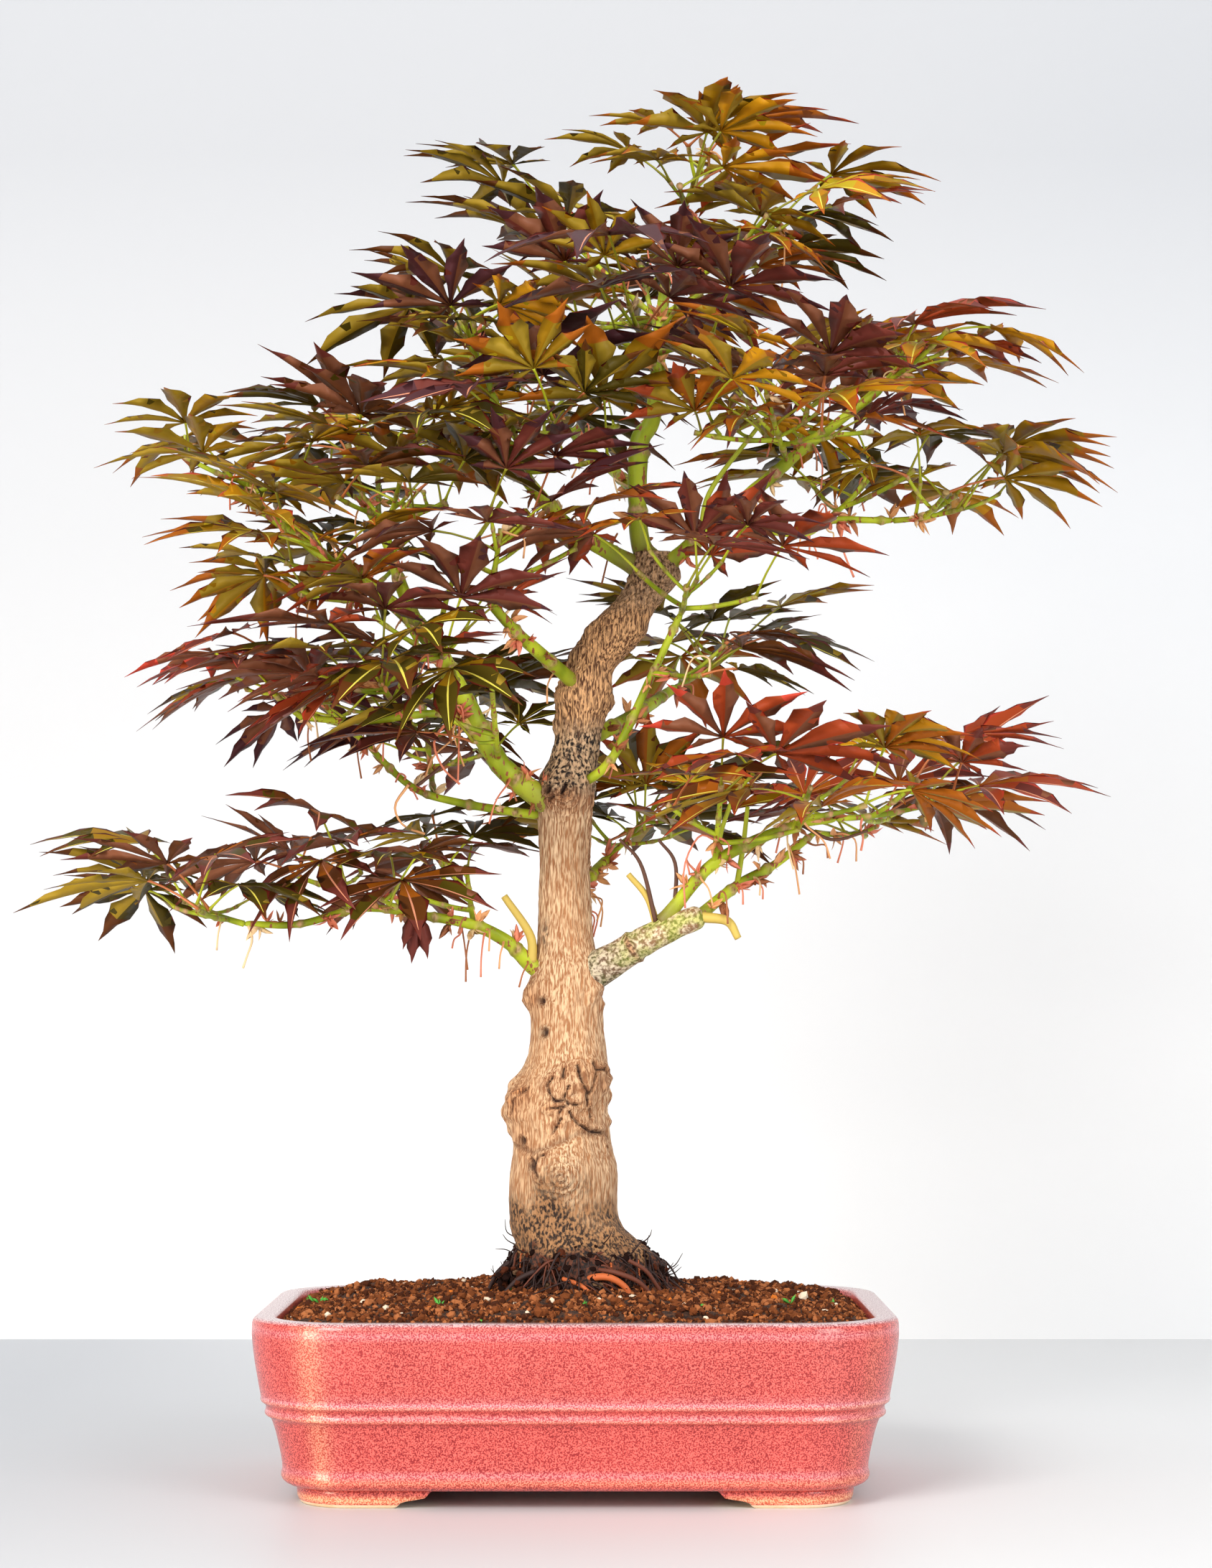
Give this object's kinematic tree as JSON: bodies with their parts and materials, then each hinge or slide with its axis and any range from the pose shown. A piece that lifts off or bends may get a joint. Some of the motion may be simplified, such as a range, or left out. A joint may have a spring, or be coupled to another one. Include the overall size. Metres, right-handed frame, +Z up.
{
  "type": "bonsai japanese maple in pot",
  "caption": "Bonsai maple with a thick bare trunk, layered pads of palmate bronze leaves, in a rose-red glazed rectangular pot with feet.",
  "frame": {"origin": "on the surface that the pot stands on, under the middle of the box round the whole plant and pot", "axes": "+Z up the trunk from the pot's feet, X along the pot's long side, -Y the side that the tree is shown from"},
  "size_m": [0.5028, 0.3644, 0.6448],
  "materials": {
    "pot_glaze": "glossy rose-red glaze with a fine dark speckle and peach edges",
    "bonsai_soil": "dark brown baked-clay granules, matt",
    "trunk_bark": "pale tan bark with fine fissures and old scars, matt",
    "green_bark": "smooth green young bark, slightly waxy",
    "leaf": "thin bronze-green leaf with red edges, satin"
  },
  "bodies": {
    "root": {"pot": "pot_glaze", "soil": "bonsai_soil", "trunk": "trunk_bark", "leader": "green_bark", "low_right_bough": "trunk_bark", "low_right_rise": "green_bark", "low_right_reach": "green_bark", "low_left_bough": "green_bark", "low_left_reach": "green_bark", "mid_left_bough": "green_bark", "mid_left_limb": "green_bark", "mid_left_fork": "green_bark", "mid_left_reach": "green_bark", "mid_left_under": "green_bark", "left_shoulder": "green_bark", "high_left_bough": "green_bark", "high_right_bough": "green_bark", "high_right_reach": "green_bark", "back_low_bough": "green_bark", "back_mid_bough": "green_bark", "back_high_bough": "green_bark", "right_shoot": "green_bark", "leaves_low_left_tip": "leaf", "leaves_low_left_middle": "leaf", "leaves_low_left_near": "leaf", "leaves_low_left_inner": "leaf", "leaves_mid_left_tip": "leaf", "leaves_mid_left_front": "leaf", "leaves_mid_left_under": "leaf", "leaves_mid_left_inner": "leaf", "leaves_left_limb_tip": "leaf", "leaves_left_limb_front": "leaf", "leaves_left_limb_under": "leaf", "leaves_left_fork_top": "leaf", "leaves_left_fork_front": "leaf", "leaves_left_fork_back": "leaf", "leaves_left_shoulder": "leaf", "leaves_left_front_low": "leaf", "leaves_left_back": "leaf", "leaves_high_left": "leaf", "leaves_high_left_front": "leaf", "leaves_crown_left": "leaf", "leaves_crown_front": "leaf", "leaves_crown_tip": "leaf", "leaves_crown_right": "leaf", "leaves_crown_back": "leaf", "leaves_high_right": "leaf", "leaves_high_right_front": "leaf", "leaves_high_right_back": "leaf", "leaves_right_reach_tip": "leaf", "leaves_right_reach_back": "leaf", "leaves_centre_front": "leaf", "leaves_right_shoot": "leaf", "leaves_low_right_inner": "leaf", "leaves_low_right_middle": "leaf", "leaves_low_right_tip": "leaf", "leaves_low_right_under": "leaf", "leaves_back_low": "leaf", "leaves_back_mid": "leaf", "leaves_back_high": "leaf"}
  },
  "joints": []
}
